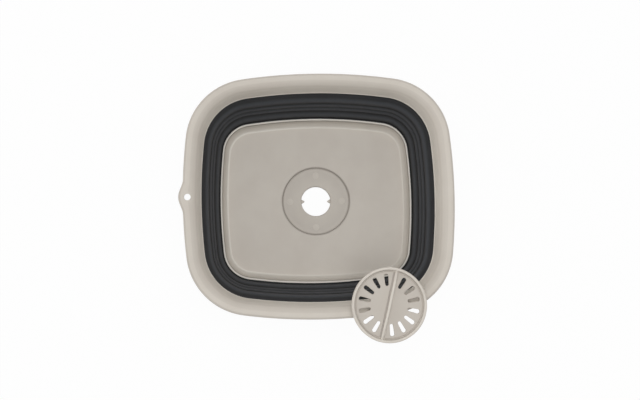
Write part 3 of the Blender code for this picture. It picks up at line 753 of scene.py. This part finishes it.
# Painted shade in the groove next to the tray's lip
base_collar = hoop("base_collar_soft", rounded([
    (TRAY_HINGE - HINGE_THICKNESS, TRAY_COLLAR_TOP, 0),
    (TRAY_HINGE, TRAY_COLLAR_TOP, 0, -1),
    (TRAY_HINGE + 0.8, TRAY_TOP - 0.5, 0.3, -1),
    (TRAY_LIP + 0.4, TRAY_TOP - 0.7, 0.2, -1),
    (TRAY_LIP + 0.4, TRAY_TOP - 6, 0.3),
    (TRAY_LIP - 2.7, TRAY_TOP - 6, 0.6),
    (TRAY_LIP - 3.0, TRAY_TOP - 2, 0.5),
]), WALL_REACH, elastomer)

# Base tray

floor_directions = [p.normalized() for p in outline(FLOOR_EDGE)]


def round_ring(radius, z, paint_level):
    """A round ring whose points face those of the tray's outline."""
    return [(radius * p.x, radius * p.y, z, paint_level) for p in floor_directions]


def outline_ring(inset, z, paint_level):
    """A ring of the outline at one height; the floor's edge gets the most painted highlight at the left and
    back.
    """
    ring = outline(inset, TRAY_EASE)
    uneven = 1 if inset > SIDE_FOOT else 0
    lean = [uneven * (BACK_EDGE_HIGHLIGHT * p.y - LEFT_EDGE_HIGHLIGHT * p.x) / TRAY_HALF for p in ring]
    return [(p.x, p.y, z, paint_level * (1 + more)) for p, more in zip(ring, lean)]


def tooth_ring(way, z, ease):
    """Outline of one bayonet tooth, pointed towards the drain's axis."""
    tip = DRAIN_RADIUS - TOOTH_REACH + ease
    root = DRAIN_RADIUS + 1
    half = TOOTH_HALF_WIDTH - ease
    corners = [(root, -half), (DRAIN_RADIUS - 0.3, -half), (tip + 0.3, -0.9), (tip, 0)]
    corners += [(tip + 0.3, 0.9), (DRAIN_RADIUS - 0.3, half), (root, half)]
    return [(way * x, way * y, z, 0) for x, y in corners]


def mark_ring(turn, radius, lift, steps=32):
    """A ring round one ejector mark, laid on the recess's floor, which falls to the drain."""
    points = []
    for i in range(steps):
        t = 2 * math.pi * i / steps
        x = MARK_REACH * math.cos(turn) + radius * math.cos(t)
        y = MARK_REACH * math.sin(turn) + radius * math.sin(t)
        out = (math.hypot(x, y) - DRAIN_RADIUS) / (RECESS_FLAT - DRAIN_RADIUS)
        points.append((x, y, DRAIN_TOP + (RECESS_FLOOR - DRAIN_TOP) * out + lift, 0))
    return points


def build_tray(shape):
    """The tray's closed skin, from the drain out over the floor and back underneath, and its teeth."""
    # The last values paint shade into the recess's groove
    top = rounded([
        (DRAIN_RADIUS, DRAIN_FOOT, 0),
        (DRAIN_RADIUS, DRAIN_TOP, 1.7),
        (RECESS_FLAT, RECESS_FLOOR, 3.5, -0.2),
        (RECESS_RADIUS - 1.6, RECESS_FLOOR + 0.1, 0.8, -0.5),
        (RECESS_RADIUS - 0.1, FLOOR_TOP - 0.1, 0.5, -0.45),
        (RECESS_RADIUS + 1.5, FLOOR_TOP, 0),
    ], closed=False)
    # Along the skirt: a painted highlight on the floor's edge and up the side's foot, painted shade under
    # the lip and a painted highlight on the lip
    skirt = rounded([
        (58, FLOOR_TOP, 0),
        (55.4, FLOOR_TOP, 0),
        (53.5, FLOOR_TOP, 1.6, 0.7),
        (51.8, FLOOR_TOP + 1.9, 0, 0.3),
        (48.7, FLOOR_TOP + 5.7, 6, 0.2),
        (46.6, TRAY_TOP - 2.2, 0.5, -0.8),
        (46.5, TRAY_TOP, 0.4, 1),
        (TRAY_LIP + 0.5, TRAY_TOP, 0.3, 1),
        (TRAY_LIP + 0.5, TRAY_TOP - 6.6, 0.4),
        (TRAY_LIP + 2, 0, 0.6),
        (TRAY_LIP + 4.5, 0, 0.6),
        (TRAY_LIP + 2.5, TRAY_TOP - 7, 0.6),
        (49.5, FLOOR_TOP + 1.9, 1.4),
        (52.9, FLOOR_TOP - TRAY_THICKNESS, 1.2),
        (60, FLOOR_TOP - TRAY_THICKNESS, 0),
    ], closed=False)
    under = rounded([
        (RECESS_RADIUS + 3, FLOOR_TOP - TRAY_THICKNESS, 0),
        (RECESS_RADIUS + 0.9, FLOOR_TOP - TRAY_THICKNESS, 0.8),
        (RECESS_RADIUS - 0.2, RECESS_FLOOR - 2, 0.8),
        (DRAIN_RADIUS + DRAIN_TUBE, DRAIN_TOP - TRAY_THICKNESS, 0.8),
        (DRAIN_RADIUS + DRAIN_TUBE, DRAIN_FOOT, 0.4),
        (DRAIN_RADIUS + 1, DRAIN_FOOT, 0),
    ], closed=False)
    rings = [round_ring(*p) for p in top] + [outline_ring(*p) for p in skirt]
    loft(shape, rings + [round_ring(*p) for p in under])
    tooth = [(DRAIN_FOOT, 0.3), (DRAIN_FOOT + 0.3, 0), (DRAIN_FOOT + 1.6, 0), (DRAIN_FOOT + 2, 0.4)]
    for way in (1, -1):
        loft(shape, [tooth_ring(way, z, ease) for z, ease in tooth], False)
    mark = [(MARK_RADIUS, -0.6), (MARK_RADIUS, 0.05), (MARK_RADIUS - 0.4, 0.2), (MARK_RADIUS - 0.9, 0.1)]
    for quarter in range(4):
        turn = quarter * math.pi / 2
        loft(shape, [mark_ring(turn, radius, lift) for radius, lift in mark], False)


tray = solid("base_tray_hard", build_tray, at_basin, polypropylene)
rib_z = FLOOR_TOP - TRAY_THICKNESS + RIB_OVERLAP - RIB_DEPTH / 2
rib_runs = [[(RECESS_RADIUS * way, 0, rib_z), (RIB_REACH_X * way, 0, rib_z)] for way in (1, -1)]
rib_runs += [[(0, RECESS_RADIUS * way, rib_z), (0, RIB_REACH_Y * way, rib_z)] for way in (1, -1)]
rib_paths = curve_object("rib_paths", rib_runs, False)
ribs = grow("floor_ribs", rib_tree(), {
    "Paths": rib_paths, "Foot width": 1.4, "Root width": 2.0, "Depth": RIB_DEPTH,
    "Material": polypropylene,
}, at_basin)
discard(rib_paths)
absorb(tray, ribs)

# Strainer and seal

at_strainer = Matrix.Translation(STRAINER_AXIS) @ Matrix.Rotation(STRAINER_TURN, 4, "Z")


def build_disc(shape):
    """Dished disc with its raised ring and the plug collar below, turned about its axis."""
    # The last values are painted shade in the groove inside the ring, a painted highlight on the ring's
    # inner slope and slight painted shade on its top
    section = rounded([
        (1, DISC_TOP, 0),
        (STRAINER_RADIUS - 6.4, DISC_TOP, 0),
        (STRAINER_RADIUS - 5.6, DISC_TOP - 0.6, 0.35, -0.4),
        (STRAINER_RADIUS - 4.5, DISC_TOP - 0.6, 0.6, -0.4),
        (STRAINER_RADIUS - 3.5, RING_TOP, 1.1, 0.2),
        (STRAINER_RADIUS, RING_TOP, 1.2, -0.1),
        (STRAINER_RADIUS, DISC_UNDERSIDE - 1.5, 0.8),
        (STRAINER_RADIUS - 3.4, DISC_UNDERSIDE - 1.5, 0.5),
        (STRAINER_RADIUS - 4.2, DISC_UNDERSIDE, 0.7),
        (COLLAR_RADIUS, DISC_UNDERSIDE, 0.8),
        (COLLAR_RADIUS, GROOVE_TOP, 0.15),
        (COLLAR_RADIUS - 1.4, GROOVE_TOP, 0.15),
        (COLLAR_RADIUS - 1.4, GROOVE_FOOT, 0.15),
        (COLLAR_RADIUS, GROOVE_FOOT, 0.15),
        (COLLAR_RADIUS, 0, 0.5),
        (COLLAR_RADIUS - 3, 0, 0.5),
        (COLLAR_RADIUS - 3, DISC_UNDERSIDE, 0.8),
        (1, DISC_UNDERSIDE, 0),
    ], closed=False)
    loft(shape, [ring_at(*point, DISC_STEPS) for point in section], False)


def slot_ring(z, ease, steps=8):
    """Outline of a slot along +X with round ends, wider outwards, grown by an ease."""
    ends = (
        (SLOT_END - SLOT_END_RADIUS, SLOT_END_RADIUS + ease, -0.5),
        (SLOT_START + SLOT_START_RADIUS, SLOT_START_RADIUS + ease, 0.5),
    )
    points = []
    for centre, radius, start in ends:
        for i in range(steps + 1):
            t = math.pi * (i / steps + start)
            points.append((centre + radius * math.cos(t), radius * math.sin(t), z, 0))
    return points


def build_slot(shape):
    """A slot cutter that opens a little at both faces of the disc."""
    heights = [(DISC_UNDERSIDE - 1, 0.3), (DISC_UNDERSIDE - 0.05, 0.3), (DISC_UNDERSIDE + 0.25, 0)]
    heights += [(DISC_TOP - 0.4, 0), (DISC_TOP + 0.05, 0.45), (DISC_TOP + 1, 0.45)]
    loft(shape, [slot_ring(z, ease) for z, ease in heights], False)


def build_grip(shape):
    """The grip rib: a low arch from ring to ring with a rounded top and eased feet.

    Its crest gets a painted highlight in the middle, and its flanks a painted shadow, stronger on the left
    one than on the right one.
    """
    reach = STRAINER_RADIUS - 2.2
    profile = [(0, GRIP_TOP - DISC_TOP), (20, GRIP_TOP - DISC_TOP), (30, 7.0), (38, 4.9)]
    profile += [(43.4, 3.3), (reach, 2.9)]
    stations = [(-x, height) for x, height in reversed(profile[1:])] + profile
    rings = []
    for x, height in stations:
        crest = GRIP_CREST_HIGHLIGHT * (1 - (x / reach) ** 2)
        flank = [(4.4, -0.8, -0.2), (3.9, 0.05, -0.6), (2.8, 0.4, -0.8), (2.1, 1.1, -0.6)]
        flank += [(1.7, height - 1.1, -0.3), (1.5, height - 0.45, 0)]
        flank += [(1.1, height - 0.1, crest), (0.5, height, crest)]
        left = [(x, y, DISC_TOP + z, paint_level) for y, z, paint_level in flank]
        right = [(x, -y, DISC_TOP + z, paint_level * (1 if paint_level > 0 else GRIP_RIGHT_SHADOW_SHARE))
                 for y, z, paint_level in reversed(flank)]
        rings.append(left + right)
    loft(shape, rings, False)


def build_notches(shape):
    """The two bayonet notches at the collar's foot."""
    corners = [(COLLAR_RADIUS - 4.5, -NOTCH_HALF_WIDTH), (COLLAR_RADIUS + 1, -NOTCH_HALF_WIDTH)]
    corners += [(COLLAR_RADIUS + 1, NOTCH_HALF_WIDTH), (COLLAR_RADIUS - 4.5, NOTCH_HALF_WIDTH)]
    for way in (1, -1):
        loft(shape, [[(way * x, way * y, z, 0) for x, y in corners] for z in (-1, 2.5)], False)


def build_seal(shape):
    """The rubber ring in the plug collar's groove, standing out from it to seal the drain."""
    section = rounded([
        (COLLAR_RADIUS - 1.1, GROOVE_FOOT + 0.3, 0.3),
        (COLLAR_RADIUS + 1.5, GROOVE_FOOT + 0.3, 0.8),
        (COLLAR_RADIUS + 1.5, GROOVE_TOP - 0.3, 0.8),
        (COLLAR_RADIUS - 1.1, GROOVE_TOP - 0.3, 0.3),
    ])
    loft(shape, [ring_at(*point, SEAL_STEPS) for point in section])


def finish_disc(obj, level=0.9999, close=0.02):
    """Shade the level faces flat, and paint shade on the disc's top, a little darker than its ring."""
    for face in obj.data.polygons:
        face.use_smooth = abs(face.normal.z) < level
    disc_z = STRAINER_AXIS.z + DISC_TOP * MM
    for vertex, rubbed in zip(obj.data.vertices, obj.data.attributes["rubbed"].data):
        if abs(vertex.co.z - disc_z) < close * MM:
            rubbed.value = DISC_PAINTED_SHADE


blanks = {
    "Disc": mesh_object("disc_blank", build_disc),
    "Grip": mesh_object("grip_blank", build_grip),
    "Slot": mesh_object("slot_cutter", build_slot),
    "Notches": mesh_object("notch_cutters", build_notches),
}
strainer = grow("slotted_strainer", strainer_tree(), {
    **blanks, "Slots per side": SLOTS_PER_SIDE, "First slot": FIRST_SLOT, "Pitch": SLOT_PITCH,
    "Material": polypropylene,
}, at_strainer)
finish_disc(strainer)
seal = solid("plug_seal_ring", build_seal, at_strainer, seal_rubber)
discard(*blanks.values(), *guides.values())

# Each piece stands for its CAD node and moves as it does

for piece, node, body, slot in (
    (rim, "rim", "rim", "moulded_polypropylene"),
    (rim_collar, "rim_collar", "rim", "soft_elastomer"),
    (mid_band, "mid_band", "band", "soft_elastomer"),
    (base_collar, "base_collar", "base", "soft_elastomer"),
    (tray, "base_tray", "base", "moulded_polypropylene"),
    (strainer, "strainer", "strainer", "moulded_polypropylene"),
    (seal, "plug_seal", "seal", "seal_rubber"),
):
    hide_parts(node)
    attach(piece, body)

for piece, node, bodies, foot, top in (
    (upper_fold, "upper_fold", ("band", "rim"), BAND_TOP, RIM_COLLAR_FOOT),
    (lower_fold, "lower_fold", ("base", "band"), TRAY_COLLAR_TOP, BAND_FOOT),
):
    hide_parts(node)
    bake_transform(piece, *bodies, start=(0, 0, foot * MM), end=(0, 0, top * MM))

# Floor, light and camera, in metres

# Half the floor's length, and the share of its real shading that is left to be seen
FLOOR_REACH = 6
FLOOR_SHADE = 0.05

# A light tent: its roof, how much brighter its walls are near the floor and how fast that fades
# with height; the walls' share is higher at both ends, more so at the left one, and at the back
TENT_ROOF = 0.3
TENT_WALLS = 1.38
TENT_FADE = 2.0
SIDE_SHARE = 0.6
ENDS_GAIN = 0.8
LEFT_END_GAIN = 0.3
BACK_GAIN = 0.27

# One soft square lamp over the basin, with its power in watts
LAMP_PLACE = Vector((-0.05, 0.05, 2.1))
LAMP_TARGET = Vector((0, 0, 0.08))
LAMP_SIZE = 1.4
LAMP_POWER = 20.8

# The photo's camera: lens and sensor, and its place and aim from the rim's centre, in millimetres
CAMERA_LENS = 45.34
SENSOR_WIDTH = 36
CAMERA_PLACE = Vector((-55.6, -86.0, 1100))
CAMERA_AIM = Vector((0.1, -6.75, 0))
CAMERA_ROLL = math.radians(1.01)


def seen_white(tree, lit, share):
    """Lay plain white over a lit shader for rays that only look at it, leaving a share of it."""
    path = add(tree, "ShaderNodeLightPath").outputs
    seen = calc(tree, "MAXIMUM", path["Is Camera Ray"], path["Is Glossy Ray"])
    looks = calc(tree, "MAXIMUM", seen, path["Is Transmission Ray"])
    cover = calc(tree, "MULTIPLY", looks, 1 - share)
    white = add(tree, "ShaderNodeEmission", {"Color": (1, 1, 1, 1), "Strength": 1.0})
    return add(tree, "ShaderNodeMixShader", {0: cover, 1: lit, 2: white.outputs[0]}).outputs[0]


floor = mesh_object("studio_floor", lambda shape: bmesh.ops.create_grid(
    shape, x_segments=1, y_segments=1, size=FLOOR_REACH,
))
paper = bpy.data.materials.new("white_paper_floor")
paper.use_nodes = True
paper.node_tree.nodes.clear()
matt = add(paper.node_tree, "ShaderNodeBsdfDiffuse", {"Color": linear(0xF4F4F4)})
paper_look = seen_white(paper.node_tree, matt.outputs[0], FLOOR_SHADE)
add(paper.node_tree, "ShaderNodeOutputMaterial", {"Surface": paper_look})
floor.data.materials.append(paper)

world = bpy.data.worlds.new("studio_white")
bpy.context.scene.world = world
world.use_nodes = True
tent = world.node_tree
tent.nodes.clear()
aim = add(tent, "ShaderNodeTexCoord").outputs["Generated"]
towards = add(tent, "ShaderNodeSeparateXYZ", {0: aim}).outputs
below = calc(tent, "SUBTRACT", 1.0, towards["Z"], use_clamp=True)
lowness = calc(tent, "POWER", below, TENT_FADE)
end_gain = calc(tent, "MULTIPLY_ADD", towards["X"], ENDS_GAIN, -LEFT_END_GAIN)
end_share = calc(tent, "MULTIPLY_ADD", end_gain, towards["X"], SIDE_SHARE)
wall_share = calc(tent, "MULTIPLY_ADD", towards["Y"], BACK_GAIN, end_share)
walls = calc(tent, "MULTIPLY", lowness, wall_share)
level = calc(tent, "MULTIPLY_ADD", walls, TENT_WALLS, TENT_ROOF)
sky = add(tent, "ShaderNodeBackground", {"Color": (1, 1, 1, 1), "Strength": level})
add(tent, "ShaderNodeOutputWorld", {"Surface": seen_white(tent, sky.outputs[0], 0)})

softbox = bpy.data.lights.new("overhead_softbox", "AREA")
softbox.size = LAMP_SIZE
softbox.energy = LAMP_POWER
lamp = bpy.data.objects.new("overhead_softbox", softbox)
lamp.location = LAMP_PLACE
lamp.rotation_euler = (LAMP_TARGET - LAMP_PLACE).to_track_quat("-Z", "Y").to_euler()
bpy.context.scene.collection.objects.link(lamp)

camera_data = bpy.data.cameras.new("photo_camera")
camera_data.lens = CAMERA_LENS
camera_data.sensor_width = SENSOR_WIDTH
camera = bpy.data.objects.new("photo_camera", camera_data)
bpy.context.scene.collection.objects.link(camera)
rim_centre = Vector((BASIN_X, BASIN_Y, RIM_TOP)) * MM
eye = rim_centre + CAMERA_PLACE * MM
target = rim_centre + CAMERA_AIM * MM
back = (eye - target).normalized()
right = Vector((math.sin(CAMERA_ROLL), math.cos(CAMERA_ROLL), 0)).cross(back).normalized()
up = back.cross(right)
camera.matrix_world = Matrix.Translation(eye) @ Matrix((right, up, back)).transposed().to_4x4()
bpy.context.scene.camera = camera
bpy.context.scene.view_settings.view_transform = "Standard"

bpy.context.view_layer.update()
